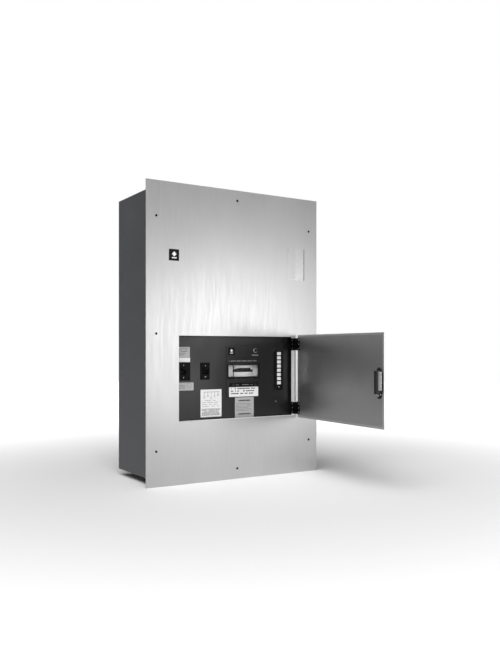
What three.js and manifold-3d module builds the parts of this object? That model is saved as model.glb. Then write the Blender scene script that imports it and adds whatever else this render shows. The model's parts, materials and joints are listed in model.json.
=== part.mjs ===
// Flush-mounted isolated-power subpanel, built as separate pieces in one scene graph.
//
// Millimetres, +Z up. The origin is the centre of the back box's outer back face, +X is to the
// right and the front faces -Y. The small door stands open on its right-hand hinges.

import * as THREE from 'three';
import { mergeVertices } from 'three/addons/utils/BufferGeometryUtils.js';
import Module from 'manifold-3d';

const wasm = await Module();
wasm.setup();

// ---------------------------------------------------------------- driving dimensions

const TRIM = { width: 768, height: 1118, thickness: 2 };
const OVERALL_DEPTH = 324;
const OVERHANG = 25.5; // how far the trim reaches past the box on every side
const SHEET = 2; // wall of the box, dead front and brackets
const FLANGE = 25; // width of the box's turned-in front flange
const WALL_HOLE = { x: 300, z: 480, r: 4 };
const BADGE = { x0: -292, x1: -251.5, z0: 269.5, z1: 312, thickness: 2 };
const NAMEPLATE = { x0: 236, x1: 320, z0: 224, z1: 354, thickness: 0.8 };

const OPENING = { x0: -251.5, x1: 273.5, z0: -326, z1: -6 }; // door opening in the trim
const JAMB_DEPTH = 23;
const JAMB_FLANGE = { width: 15, thickness: 1.5 };
const RECESS = 40; // from the trim's face to the dead front's face

const GAP = 0.3; // between pieces that touch inside a turned group
const HINGE_AXIS = { x: 283, ahead: 5.2 }; // "ahead" is the distance in front of the trim
const KNUCKLE_R = 3.5;
const PIN_R = 1.5;
const PIN_PLAY = 0.15;
const HINGE_TOPS = { upper: -12, lower: -272 };
const HINGE_HEIGHT = 48;
const LEAF = { thickness: 1.5, width: 16 };
const DOOR = {
  x0: -261, x1: HINGE_AXIS.x - KNUCKLE_R - GAP, z0: -333.5, z1: 1.5,
  thickness: 2.5, standoff: 3.5,
};
const DOOR_REST_DEG = 87.5; // how far open the door stands

const SCREW = { headR: 4.5, headH: 2.6, shankR: 2.3, length: 12, play: 0.4 };
const SCREW_SPREAD = { x: 343, z: 519, zSide: 429.5 };

// Planes along Y, named from the front to the back.
const FRONT = -OVERALL_DEPTH;
const TRIM_BACK = FRONT + TRIM.thickness;
const DEAD_FRONT = FRONT + RECESS;
const DEAD_BACK = DEAD_FRONT + SHEET;
const PAN_FRONT = -212;
const BACK_INNER = -SHEET;
const DOOR_INNER = FRONT - DOOR.standoff;
const DOOR_OUTER = DOOR_INNER - DOOR.thickness;

const BOX = { x: TRIM.width / 2 - OVERHANG, z: TRIM.height / 2 - OVERHANG };

// ---------------------------------------------------------------- finishes

const finish = (color, roughness, metalness) => ({ color, roughness, metalness });
const STAINLESS = finish(0xc9cac8, 0.34, 1);
const GREY_PAINT = finish(0x55575a, 0.55, 0.2);
const DARK_PAINT = finish(0x3a3b3d, 0.5, 0.2);
const ZINC = finish(0x9a9c9e, 0.4, 0.9);
const BLACK_PLASTIC = finish(0x141414, 0.5, 0);
const BLACK_STEEL = finish(0x161616, 0.42, 0.6);
const WHITE_PRINT = finish(0xe9e8e2, 0.6, 0);
const GREY_PRINT = finish(0xb4b4b0, 0.6, 0);
const CLEAR = finish(0xdfe6e8, 0.08, 0);
const BRIGHT_STEEL = finish(0xd9dadb, 0.22, 1);
const IRON = finish(0x35373a, 0.7, 0.5);
const VARNISH = finish(0x7a4a22, 0.5, 0);
const COPPER = finish(0xb87345, 0.35, 1);

// ---------------------------------------------------------------- shape helpers

const OVERSHOOT = 1; // how far a cutting shape runs past what it cuts

const rad = (degrees) => (degrees * Math.PI) / 180;
const sorted = (a, b) => [Math.min(a, b), Math.max(a, b)];

/** A box between two corners. */
function block(x0, x1, y0, y1, z0, z1) {
  const geometry = new THREE.BoxGeometry(x1 - x0, y1 - y0, z1 - z0);
  return geometry.translate((x0 + x1) / 2, (y0 + y1) / 2, (z0 + z1) / 2);
}

/** A closed outline through the given points. */
function outline(points) {
  return new THREE.Shape(points.map(([x, y]) => new THREE.Vector2(x, y)));
}

/** A rectangle with rounded corners. */
function roundedRect(x0, x1, z0, z1, r) {
  const shape = new THREE.Shape();
  shape.moveTo(x0 + r, z0);
  shape.lineTo(x1 - r, z0);
  shape.absarc(x1 - r, z0 + r, r, -Math.PI / 2, 0);
  shape.lineTo(x1, z1 - r);
  shape.absarc(x1 - r, z1 - r, r, 0, Math.PI / 2);
  shape.lineTo(x0 + r, z1);
  shape.absarc(x0 + r, z1 - r, r, Math.PI / 2, Math.PI);
  shape.lineTo(x0, z0 + r);
  shape.absarc(x0 + r, z0 + r, r, Math.PI, 1.5 * Math.PI);
  return shape;
}

/** A front-view outline (X across, Z up) made solid between two depths. */
function plate(shape, y0, y1, curveSegments = 4) {
  const geometry = new THREE.ExtrudeGeometry(shape, {
    depth: y1 - y0, bevelEnabled: false, curveSegments,
  });
  return geometry.rotateX(Math.PI / 2).translate(0, y1, 0);
}

/** A plan-view outline (X across, Y deep) made solid between two heights. */
function column(shape, z0, z1, curveSegments = 4) {
  const geometry = new THREE.ExtrudeGeometry(shape, {
    depth: z1 - z0, bevelEnabled: false, curveSegments,
  });
  return geometry.translate(0, 0, z0);
}

/** An upright cylinder. */
function post(r, x, y, z0, z1, segments = 16) {
  const geometry = new THREE.CylinderGeometry(r, r, z1 - z0, segments);
  return geometry.rotateX(Math.PI / 2).translate(x, y, (z0 + z1) / 2);
}

/** A cylinder that runs front to back. */
function spigot(r, x, z, y0, y1, segments = 16) {
  const geometry = new THREE.CylinderGeometry(r, r, y1 - y0, segments);
  return geometry.translate(x, (y0 + y1) / 2, z);
}

/** A cylinder that runs left to right. */
function barrel(r, y, z, x0, x1, segments = 24) {
  const geometry = new THREE.CylinderGeometry(r, r, x1 - x0, segments);
  return geometry.rotateZ(Math.PI / 2).translate((x0 + x1) / 2, y, z);
}

/** A turned piece whose profile is [radius, distance in front of y]. */
function turned(profile, x, y, z, segments = 16) {
  const points = profile.map(([r, ahead]) => new THREE.Vector2(r, ahead));
  return new THREE.LatheGeometry(points, segments).rotateX(Math.PI).translate(x, y, z);
}

/** A manifold solid from a closed geometry, for joining and cutting. */
function solid(geometry) {
  const bare = geometry.clone();
  bare.deleteAttribute('normal');
  bare.deleteAttribute('uv');
  const merged = mergeVertices(bare, 1e-4);
  return new wasm.Manifold(new wasm.Mesh({
    numProp: 3,
    vertProperties: new Float32Array(merged.attributes.position.array),
    triVerts: new Uint32Array(merged.index.array),
  }));
}

/** A three.js geometry from a manifold solid. */
function toGeometry(manifold) {
  const mesh = manifold.getMesh();
  const geometry = new THREE.BufferGeometry();
  geometry.setAttribute('position', new THREE.BufferAttribute(mesh.vertProperties, 3));
  geometry.setIndex(new THREE.BufferAttribute(mesh.triVerts, 1));
  geometry.computeVertexNormals();
  return geometry;
}

const join = (...geometries) => toGeometry(
  geometries.map(solid).reduce((sum, next) => sum.add(next)),
);

const cut = (base, ...tools) => toGeometry(
  tools.map(solid).reduce((rest, tool) => rest.subtract(tool), solid(base)),
);

function piece(name, geometry, look) {
  const mesh = new THREE.Mesh(geometry, new THREE.MeshStandardMaterial(look));
  mesh.name = name;
  return mesh;
}

// ---------------------------------------------------------------- box, trim and jamb

const screwPlaces = [-1, 1].flatMap((side) => [
  ...[-1, 0, 1].map((row) => [side * SCREW_SPREAD.x, row * SCREW_SPREAD.zSide]),
  [0, side * SCREW_SPREAD.z],
]);

function screwHoles(y0, y1) {
  const r = SCREW.shankR + SCREW.play;
  return screwPlaces.map(([x, z]) => spigot(r, x, z, y0 - OVERSHOOT, y1 + OVERSHOOT, 12));
}

/** The folded steel box: closed sides and back, and a turned-in flange around its open front. */
function backBox() {
  const front = TRIM_BACK;
  const centred = (inset, y0, y1) => block(
    -BOX.x + inset, BOX.x - inset, y0, y1, -BOX.z + inset, BOX.z - inset,
  );
  const wallHoles = [-1, 1].flatMap((column) => [-1, 1].map((row) => spigot(
    WALL_HOLE.r, column * WALL_HOLE.x, row * WALL_HOLE.z, BACK_INNER - OVERSHOOT, OVERSHOOT, 12,
  )));
  return cut(
    centred(0, front, 0),
    centred(SHEET, front + SHEET, BACK_INNER),
    centred(FLANGE, front - OVERSHOOT, front + SHEET + OVERSHOOT),
    ...screwHoles(front, front + SHEET), ...wallHoles,
  );
}

function frontTrim() {
  const sheet = block(
    -TRIM.width / 2, TRIM.width / 2, FRONT, TRIM_BACK, -TRIM.height / 2, TRIM.height / 2,
  );
  const opening = block(
    OPENING.x0, OPENING.x1, FRONT - OVERSHOOT, TRIM_BACK + OVERSHOOT, OPENING.z0, OPENING.z1,
  );
  return cut(sheet, opening, ...screwHoles(FRONT, TRIM_BACK));
}

function trimScrew([x, z]) {
  const { headR, headH, shankR, length } = SCREW;
  const clearance = 0.1;
  const profile = [
    [0, -length], [shankR, -length], [shankR, 0], [headR, 0],
    [headR * 0.94, headH * 0.45], [headR * 0.6, headH * 0.85], [0, headH],
  ];
  return turned(profile, x, FRONT - clearance, z);
}

const STRIKE = { z0: -201, z1: -133, y0: FRONT + 4.5, y1: FRONT + 14.5 };

function doorJamb() {
  const { x0, x1, z0, z1 } = OPENING;
  const back = TRIM_BACK + JAMB_DEPTH;
  const sleeve = block(x0 - SHEET, x1 + SHEET, TRIM_BACK, back, z0 - SHEET, z1 + SHEET);
  const { width, thickness } = JAMB_FLANGE;
  const flange = block(
    x0 - width, x1 + width, TRIM_BACK, TRIM_BACK + thickness, z0 - width, z1 + width,
  );
  const way = block(x0, x1, TRIM_BACK - OVERSHOOT, back + OVERSHOOT, z0, z1);
  const strike = block(
    x0 - SHEET - OVERSHOOT, x0 + OVERSHOOT, STRIKE.y0, STRIKE.y1, STRIKE.z0, STRIKE.z1,
  );
  return cut(join(sleeve, flange), way, strike);
}

/** A thin plate with slightly rounded corners that lies on a face at the given depth. */
function onFace({ x0, x1, z0, z1 }, thickness, face) {
  const corner = 1.5;
  return plate(roundedRect(x0, x1, z0, z1, corner), face - thickness, face);
}

function trimGroup() {
  const group = new THREE.Group();
  group.add(
    piece('back_box', backBox(), GREY_PAINT),
    piece('front_trim', frontTrim(), STAINLESS),
    piece('door_jamb', doorJamb(), STAINLESS),
    piece('badge', onFace(BADGE, BADGE.thickness, FRONT), BLACK_PLASTIC),
    piece('nameplate', onFace(NAMEPLATE, NAMEPLATE.thickness, FRONT), STAINLESS),
    ...screwPlaces.map((place, i) => piece(`trim_screw_${i + 1}`, trimScrew(place), BLACK_STEEL)),
  );
  return group;
}

// ---------------------------------------------------------------- dead front and its supports

const MAIN = {
  nose: { x0: -246, x1: -186, z0: -175, z1: -106 },
  body: { x0: -252, x1: -180, z0: -206, z1: -76 },
  handleX: -214, handleWidth: 18,
};
const BRANCH = {
  nose: { x0: -140, x1: -102, z0: -173, z1: -109 },
  body: { x0: -142, x1: -100, z0: -192, z1: -90 },
  handleX: -121, handleWidth: 24,
};
const MONITOR = { x0: -27, x1: 137, z0: -246, z1: -44 };
const CHASSIS = { x0: -20, x1: 130, z0: -236, z1: -50, y1: -148 };
const LAMPS = { x: 220, width: 18, height: 12.5, top: -74.5, pitch: 17, count: 8 };
const BEZEL = { x0: 200, x1: 240, z0: -222, z1: -62, proud: 4, corner: 8 };
const DEAD = { x0: -300, x1: 300, z0: -372, z1: 42, lip: 12 };
const LABELS = {
  circuit: { x0: -140, x1: -48, z0: -318, z1: -212 },
  warning: { x0: 13, x1: 100, z0: -332, z1: -247 },
  monitor: { x0: -15, x1: 120, z0: -244, z1: -206 },
};
const LABEL_T = 0.8;

const frontHole = ({ x0, x1, z0, z1 }, play) => block(
  x0 - play, x1 + play, DEAD_FRONT - OVERSHOOT, DEAD_BACK + OVERSHOOT, z0 - play, z1 + play,
);

function deadFront() {
  const { x0, x1, z0, z1, lip } = DEAD;
  const sheet = block(x0, x1, DEAD_FRONT, DEAD_BACK, z0, z1);
  const lips = [z0, z1 - SHEET].map((z) => block(x0, x1, DEAD_FRONT, DEAD_BACK + lip, z, z + SHEET));
  const lampSlot = {
    x0: LAMPS.x - LAMPS.width / 2, x1: LAMPS.x + LAMPS.width / 2,
    z0: LAMPS.top - (LAMPS.count - 0.5) * LAMPS.pitch, z1: LAMPS.top + LAMPS.pitch / 2,
  };
  return cut(
    join(sheet, ...lips),
    frontHole(MAIN.nose, 0.5), frontHole(BRANCH.nose, 0.5),
    frontHole(CHASSIS, 1), frontHole(lampSlot, 3),
  );
}

/** A vertical channel that carries the dead front off the back wall. */
function interiorBracket(side) {
  const web = side * DEAD.x1;
  const foot = 20;
  const margin = 4;
  const across = (width) => sorted(web, web - side * width);
  const height = [DEAD.z0 + margin, DEAD.z1 - margin];
  return join(
    block(...across(SHEET), DEAD_BACK, BACK_INNER, ...height),
    block(...across(foot), DEAD_BACK, DEAD_BACK + SHEET, ...height),
    block(...across(foot), BACK_INNER - SHEET, BACK_INNER, ...height),
  );
}

/** The sheet that carries the breakers, with an opening for the monitor's chassis. */
function breakerPan() {
  const inside = DEAD.x1 - SHEET;
  const margin = 12;
  const clear = 5;
  return cut(
    block(
      -inside, inside, PAN_FRONT, PAN_FRONT + SHEET, DEAD.z0 + margin, DEAD.z1 - margin,
    ),
    block(
      CHASSIS.x0 - clear, CHASSIS.x1 + clear,
      PAN_FRONT - OVERSHOOT, PAN_FRONT + SHEET + OVERSHOOT,
      CHASSIS.z0 - clear, CHASSIS.z1 + clear,
    ),
  );
}

function interiorGroup() {
  const group = new THREE.Group();
  group.add(
    piece('dead_front', deadFront(), DARK_PAINT),
    piece('interior_bracket_left', interiorBracket(-1), ZINC),
    piece('interior_bracket_right', interiorBracket(1), ZINC),
    piece('breaker_pan', breakerPan(), ZINC),
    piece('circuit_label', onFace(LABELS.circuit, LABEL_T, DEAD_FRONT), WHITE_PRINT),
    piece('warning_label', onFace(LABELS.warning, LABEL_T, DEAD_FRONT), GREY_PRINT),
  );
  return group;
}

// ---------------------------------------------------------------- circuit breakers

const NOSE_PROUD = 4;
const TOGGLE = {
  behind: 12, hubR: 13, reach: 27, root: 4, thick: 7, tipThick: 4.8, throwDeg: 40, slotHalf: 11.5,
};

const toggleAxis = ({ nose }) => ({ y: DEAD_FRONT + TOGGLE.behind, z: (nose.z0 + nose.z1) / 2 });

function breakerCase(breaker) {
  const { nose, body, handleX, handleWidth } = breaker;
  const axis = toggleAxis(breaker);
  const front = DEAD_FRONT - NOSE_PROUD;
  const play = 0.6;
  const halfWidth = handleWidth / 2 + play;
  const slot = [handleX - halfWidth, handleX + halfWidth];
  return cut(
    join(
      block(body.x0, body.x1, DEAD_BACK, PAN_FRONT, body.z0, body.z1),
      block(nose.x0, nose.x1, front, DEAD_BACK + OVERSHOOT, nose.z0, nose.z1),
    ),
    barrel(TOGGLE.hubR + play, axis.y, axis.z, ...slot),
    block(
      ...slot, front - OVERSHOOT, axis.y, axis.z - TOGGLE.slotHalf, axis.z + TOGGLE.slotHalf,
    ),
  );
}

/** The toggle, drawn pointing straight out and then tilted up to its ON position. */
function breakerToggle(breaker, name) {
  const { handleX, handleWidth } = breaker;
  const half = handleWidth / 2;
  const axis = toggleAxis(breaker);
  const { hubR, reach, root, thick, tipThick } = TOGGLE;
  const blade = outline([
    [-reach, -tipThick / 2], [-reach, tipThick / 2], [-root, thick / 2], [-root, -thick / 2],
  ]);
  const bladeSolid = new THREE.ExtrudeGeometry(blade, { depth: handleWidth, bevelEnabled: false })
    .rotateY(Math.PI / 2).rotateX(Math.PI / 2).translate(-half, 0, 0);
  const hub = barrel(hubR, 0, 0, -half, half);
  const mesh = piece(name, join(hub, bladeSolid), BLACK_PLASTIC);
  mesh.position.set(handleX, axis.y, axis.z);
  mesh.rotation.x = -rad(TOGGLE.throwDeg / 2);
  return mesh;
}

function breakerGroup() {
  const group = new THREE.Group();
  for (const [name, breaker] of Object.entries({ main: MAIN, branch: BRANCH })) {
    group.add(
      piece(`${name}_breaker_case`, breakerCase(breaker), BLACK_PLASTIC),
      breakerToggle(breaker, `${name}_breaker_handle`),
    );
  }
  return group;
}

// ---------------------------------------------------------------- line isolation monitor

const PLATE_T = 2;
const PLATE_FRONT = DEAD_FRONT - PLATE_T;
const METER = {
  x: 58, y: -171, radius: 110, z0: -165, z1: -120, thickness: 1.5, tab: 24,
  slot0: -147, slot1: -137.5, startDeg: -25, endDeg: 27, restDeg: -24, sweepDeg: 47,
};
const METER_VIEW = { x0: -17, x1: 120, z0: -167, z1: -119 };
const WINDOW = { thickness: 1.5, lap: 3 };
const BUTTON_STRIP = { x0: -14, x1: 120, z0: -205, z1: -189, proud: 2 };
const BUTTON = { r: 5, collarR: 6.5, z: -197, proud: 5, length: 15, testX: 3, silenceX: 105 };
const STATUS_LAMP = { x: 105.5, z: -62, r: 7 };
const HOLE_PLAY = 0.4;

function monitorFaceplate() {
  const { x0, x1, z0, z1 } = MONITOR;
  const corner = 3;
  const raised = PLATE_FRONT - BUTTON_STRIP.proud;
  const through = [raised - OVERSHOOT, DEAD_FRONT + OVERSHOOT];
  const hole = (r, x, z) => spigot(r + HOLE_PLAY, x, z, ...through);
  return cut(
    join(
      plate(roundedRect(x0, x1, z0, z1, corner), PLATE_FRONT, DEAD_FRONT),
      block(
        BUTTON_STRIP.x0, BUTTON_STRIP.x1, raised, PLATE_FRONT, BUTTON_STRIP.z0, BUTTON_STRIP.z1,
      ),
    ),
    block(METER_VIEW.x0, METER_VIEW.x1, ...through, METER_VIEW.z0, METER_VIEW.z1),
    hole(STATUS_LAMP.r, STATUS_LAMP.x, STATUS_LAMP.z),
    hole(BUTTON.r, BUTTON.testX, BUTTON.z),
    hole(BUTTON.r, BUTTON.silenceX, BUTTON.z),
  );
}

function monitorChassis() {
  const { x0, x1, z0, z1, y1 } = CHASSIS;
  const wall = 1.5;
  return cut(
    block(x0, x1, DEAD_FRONT, y1, z0, z1),
    block(x0 + wall, x1 - wall, DEAD_FRONT - OVERSHOOT, y1 - wall, z0 + wall, z1 - wall),
  );
}

/** The printed scale: a curved strip slotted for the pointer's arm, with a flat tab at its left. */
function meterScale() {
  const {
    x, y, radius, thickness, tab, startDeg, endDeg, restDeg, sweepDeg, z0, z1, slot0, slot1,
  } = METER;
  const steps = 14;
  const along = (r, i) => {
    const angle = rad(startDeg + ((endDeg - startDeg) * i) / steps);
    return [x + r * Math.sin(angle), y - r * Math.cos(angle)];
  };
  const indices = Array.from({ length: steps + 1 }, (_, i) => i);
  const front = indices.map((i) => along(radius, i));
  const back = indices.map((i) => along(radius - thickness, i)).reverse();
  const tabEnd = back[steps][0] - tab;
  const strip = column(
    outline([[tabEnd, front[0][1] + thickness], [tabEnd, front[0][1]], ...front, ...back]), z0, z1,
  );
  const armPlay = 3.2;
  const slotX0 = x + radius * Math.sin(rad(restDeg)) - armPlay;
  const slotX1 = x + radius * Math.sin(rad(restDeg + sweepDeg)) + armPlay;
  return cut(strip, block(slotX0, slotX1, y - radius - OVERSHOOT, y - radius / 2, slot0, slot1));
}

const PIVOT = { r: 2, hubR: 5, bottom: -176, floor: -150, top: -136 };
const POINTER = { width: 3.2, thickness: 1.2, ahead: 1.2, armWidth: 2.4, arm0: -143.5, arm1: -141 };

/** The meter's movement: a drum with a pin for the pointer, held off the chassis's back. */
function meterMovement() {
  const { x, y } = METER;
  const drumR = 12;
  const stem = { half: 10, height: 8 };
  const back = CHASSIS.y1 - 1.5;
  const { bottom, floor, top, r } = PIVOT;
  return join(
    block(x - stem.half, x + stem.half, y, back, bottom, bottom + stem.height),
    post(drumR, x, y, bottom, floor),
    post(r, x, y, floor - OVERSHOOT, top, 12),
  );
}

/** The pointer, drawn pointing straight out of the meter and then turned to the scale's zero. */
function meterPointer() {
  const { width, thickness, ahead, armWidth, arm0, arm1 } = POINTER;
  const bladeY = -(METER.radius + ahead);
  const margin = 1;
  const arm = block(
    -armWidth / 2, armWidth / 2, bladeY - thickness / 2, margin - PIVOT.hubR, arm0, arm1,
  );
  const blade = block(
    -width / 2, width / 2, bladeY - thickness, bladeY, METER.z0 + margin, METER.z1 - margin,
  );
  const hub = post(PIVOT.hubR, 0, 0, PIVOT.floor + GAP, PIVOT.top - margin);
  const bore = post(PIVOT.r + GAP, 0, 0, PIVOT.floor - OVERSHOOT, PIVOT.top + OVERSHOOT, 12);
  const mesh = piece('meter_pointer', cut(join(hub, arm, blade), bore), BLACK_PLASTIC);
  mesh.position.set(METER.x, METER.y, 0);
  mesh.rotation.z = rad(METER.restDeg);
  return mesh;
}

function pushButton(name, x) {
  const { r, collarR, proud, length } = BUTTON;
  const [collarBack, collarFront] = [-4, -2.5];
  const rounding = 0.6;
  const profile = [
    [0, proud - length], [r, proud - length], [r, collarBack], [collarR, collarBack],
    [collarR, collarFront], [r, collarFront],
    [r, proud - rounding], [r - rounding, proud], [0, proud],
  ];
  return piece(name, turned(profile, x, PLATE_FRONT, BUTTON.z), BLACK_PLASTIC);
}

/** A lamp with a flanged base and a domed cap, as radii and distances ahead of the faceplate. */
function statusLamp() {
  const { r, x, z } = STATUS_LAMP;
  const clearance = 0.1;
  const [socketBack, rimR, rimFront, domeFoot] = [-8, r + 2, 1.5, 2.4];
  const profile = [
    [0, socketBack], [r, socketBack], [r, 0], [rimR, 0], [rimR, rimFront], [r, domeFoot],
    [r * 0.9, 5], [r * 0.6, 7.4], [r * 0.25, 8.3], [0, 8.4],
  ];
  return turned(profile, x, PLATE_FRONT - clearance, z);
}

function monitorGroup() {
  const { thickness, lap } = WINDOW;
  const window = block(
    METER_VIEW.x0 - lap, METER_VIEW.x1 + lap, PLATE_FRONT - thickness, PLATE_FRONT,
    METER_VIEW.z0 - lap, METER_VIEW.z1 + lap,
  );
  const group = new THREE.Group();
  group.add(
    piece('monitor_chassis', monitorChassis(), ZINC),
    piece('monitor_faceplate', monitorFaceplate(), DARK_PAINT),
    piece('monitor_label', onFace(LABELS.monitor, LABEL_T, PLATE_FRONT), WHITE_PRINT),
    piece('meter_window', window, CLEAR),
    piece('meter_scale', meterScale(), WHITE_PRINT),
    piece('meter_movement', meterMovement(), IRON),
    meterPointer(),
    piece('status_lamp', statusLamp(), WHITE_PRINT),
    pushButton('test_button', BUTTON.testX),
    pushButton('silence_button', BUTTON.silenceX),
  );
  return group;
}

// ---------------------------------------------------------------- circuit indicator strip

const BEZEL_FRONT = DEAD_FRONT - BEZEL.proud;
const lampPlaces = Array.from({ length: LAMPS.count }, (_, i) => LAMPS.top - i * LAMPS.pitch);

function lampBody(z, play, y0, y1) {
  const halfWidth = LAMPS.width / 2 + play;
  const halfHeight = LAMPS.height / 2 + play;
  const { x } = LAMPS;
  return block(x - halfWidth, x + halfWidth, y0, y1, z - halfHeight, z + halfHeight);
}

function indicatorGroup() {
  const { x0, x1, z0, z1, corner } = BEZEL;
  const [lensProud, lensTail] = [1, 8];
  const bezel = cut(
    plate(roundedRect(x0, x1, z0, z1, corner), BEZEL_FRONT, DEAD_FRONT),
    ...lampPlaces.map((z) => lampBody(z, GAP, BEZEL_FRONT - OVERSHOOT, DEAD_FRONT + OVERSHOOT)),
  );
  const group = new THREE.Group();
  group.add(piece('indicator_bezel', bezel, BLACK_PLASTIC));
  lampPlaces.forEach((z, i) => {
    const lens = lampBody(z, 0, BEZEL_FRONT - lensProud, DEAD_FRONT + lensTail);
    group.add(piece(`indicator_lens_${i + 1}`, lens, WHITE_PRINT));
  });
  return group;
}

// ---------------------------------------------------------------- isolating transformer and wiring

const COIL = { wind: 40, play: 1, corner: 22, endGap: 4 };
const CORE = { halfWidth: 130, z0: 150, z1: 370, y0: -170, y1: -60, leg: 50, yoke: 40, limb: 70 };
const CORE_BRACKET = { margin: 10, foot: 34, sheet: 4 };
const GROUND_BUS = {
  x0: -250, x1: -90, z: -446, halfHeight: 6, face: -26, back: -18, foot: 14, screws: 9, headR: 4,
};
const TERMINALS = {
  x0: 60, x1: 220, z0: -474, z1: -418, poles: 6, finWidth: 3,
  finFront: -44, screwFront: -38, front: -32, screwR: 6,
};

/** The laminated core: an outer frame with two windows beside the middle limb. */
function transformerCore() {
  const { halfWidth, z0, z1, y0, y1, leg, yoke, limb } = CORE;
  const windows = [-1, 1].map((side) => {
    const across = sorted(side * (limb / 2), side * (halfWidth - leg));
    return block(...across, y0 - OVERSHOOT, y1 + OVERSHOOT, z0 + yoke, z1 - yoke);
  });
  return cut(block(-halfWidth, halfWidth, y0, y1, z0, z1), ...windows);
}

function transformerCoil() {
  const { z0, z1, y0, y1, yoke, limb } = CORE;
  const { wind, play, corner, endGap } = COIL;
  const reach = limb / 2 + wind;
  const outer = roundedRect(-reach, reach, y0 - wind, y1 + wind, corner);
  const inner = roundedRect(-limb / 2 - play, limb / 2 + play, y0 - play, y1 + play, 2 * play);
  outer.holes.push(new THREE.Path(inner.getPoints(4).slice(0, -1)));
  return column(outer, z0 + yoke + endGap, z1 - yoke - endGap);
}

/** An angle bracket on the back wall that clamps one end of the core. */
function coreBracket(side) {
  const face = side > 0 ? CORE.z1 : CORE.z0;
  const { margin, foot, sheet } = CORE_BRACKET;
  const half = CORE.halfWidth + margin;
  return join(
    block(-half, half, CORE.y0, BACK_INNER, ...sorted(face, face + side * sheet)),
    block(-half, half, BACK_INNER - sheet, BACK_INNER, ...sorted(face, face + side * foot)),
  );
}

/** The grounding bar on two feet, with a row of binding screws. */
function groundBus() {
  const { x0, x1, z, halfHeight, face, back, foot, screws, headR } = GROUND_BUS;
  const height = [z - halfHeight, z + halfHeight];
  const pitch = (x1 - x0) / (screws + 1);
  const heads = Array.from({ length: screws }, (_, i) => (
    spigot(headR, x0 + (i + 1) * pitch, z, face - headR, face + OVERSHOOT, 8)
  ));
  const feet = [x0, x1 - foot].map((x) => (
    block(x, x + foot, back - OVERSHOOT, BACK_INNER, ...height)
  ));
  return join(block(x0, x1, face, back, ...height), ...feet, ...heads);
}

/** A terminal strip with a fin between every two poles and a screw on each pole. */
function terminalBlock() {
  const { x0, x1, z0, z1, poles, finWidth, finFront, screwFront, front, screwR } = TERMINALS;
  const pitch = (x1 - finWidth - x0) / poles;
  const fins = Array.from({ length: poles + 1 }, (_, i) => {
    const x = x0 + i * pitch;
    return block(x, x + finWidth, finFront, front + OVERSHOOT, z0, z1);
  });
  const screws = Array.from({ length: poles }, (_, i) => {
    const x = x0 + (i + 0.5) * pitch + finWidth / 2;
    return spigot(screwR, x, (z0 + z1) / 2, screwFront, front + OVERSHOOT, 12);
  });
  return join(block(x0, x1, front, BACK_INNER, z0, z1), ...fins, ...screws);
}

/** The bundle of leads from the transformer's coil down to the main breaker. */
function transformerLeads() {
  const bundleR = 7;
  const lugZ = MAIN.body.z1 + GAP;
  const coilFront = CORE.y0 - COIL.wind - COIL.play;
  const route = new THREE.CatmullRomCurve3([
    [-40, coilFront, 230], [-40, coilFront - 12, 230], [-52, coilFront - 28, 196],
    [-130, -244, 110], [-205, -246, 20], [-216, -246, -40], [-216, -246, lugZ],
  ].map((point) => new THREE.Vector3(...point)));
  const section = new THREE.Shape().absarc(0, 0, bundleR, 0, 2 * Math.PI);
  return new THREE.ExtrudeGeometry(section, {
    steps: 24, curveSegments: 5, bevelEnabled: false, extrudePath: route,
  });
}

function supplyGroup() {
  const group = new THREE.Group();
  group.add(
    piece('transformer_core', transformerCore(), IRON),
    piece('transformer_coil', transformerCoil(), VARNISH),
    piece('transformer_bracket_lower', coreBracket(-1), ZINC),
    piece('transformer_bracket_upper', coreBracket(1), ZINC),
    piece('transformer_leads', transformerLeads(), BLACK_PLASTIC),
    piece('ground_bus', groundBus(), COPPER),
    piece('terminal_block', terminalBlock(), BLACK_PLASTIC),
  );
  return group;
}

// ---------------------------------------------------------------- hinges

const AXIS = { x: HINGE_AXIS.x, y: FRONT - HINGE_AXIS.ahead };
const BORE_R = PIN_R + PIN_PLAY;
const WEB = 3; // how far a leaf's root reaches back from the axis

/** Heights of the three knuckles of one hinge: two on the frame, the middle one on the door. */
function knuckles(top) {
  const third = HINGE_HEIGHT / 3;
  return {
    frame: [[top - third, top], [top - 3 * third, top - 2 * third]],
    door: [top - 2 * third + GAP, top - third - GAP],
  };
}

/** The fixed leaf: one face on the trim, one on the jamb, and two knuckles. */
function frameLeaf(top) {
  const bottom = top - HINGE_HEIGHT;
  const heights = knuckles(top).frame;
  const edge = OPENING.x1;
  const { thickness } = LEAF;
  return cut(
    join(
      block(edge - thickness, AXIS.x, FRONT - thickness, FRONT, bottom, top),
      block(
        edge - thickness, edge, FRONT - thickness, TRIM_BACK + JAMB_DEPTH - OVERSHOOT, bottom, top,
      ),
      ...heights.map((span) => block(AXIS.x - WEB, AXIS.x, AXIS.y, FRONT, ...span)),
      ...heights.map((span) => post(KNUCKLE_R, AXIS.x, AXIS.y, ...span)),
    ),
    post(BORE_R, AXIS.x, AXIS.y, bottom - OVERSHOOT, top + OVERSHOOT),
  );
}

/** The door's leaf, on the inside of the panel, and its one knuckle. */
function doorLeaf(top) {
  const bottom = top - HINGE_HEIGHT;
  const middle = knuckles(top).door;
  const { thickness, width } = LEAF;
  const [y0, y1] = [DOOR_INNER + GAP, DOOR_INNER + thickness];
  return cut(
    join(
      block(DOOR.x1 - width, DOOR.x1, y0, y1, bottom, top),
      block(DOOR.x1 - 1, AXIS.x - 1, y0, y1, ...middle),
      block(AXIS.x - WEB, AXIS.x, AXIS.y, y1, ...middle),
      post(KNUCKLE_R, AXIS.x, AXIS.y, ...middle),
    ),
    post(BORE_R, AXIS.x, AXIS.y, bottom - OVERSHOOT, top + OVERSHOOT),
  );
}

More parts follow.
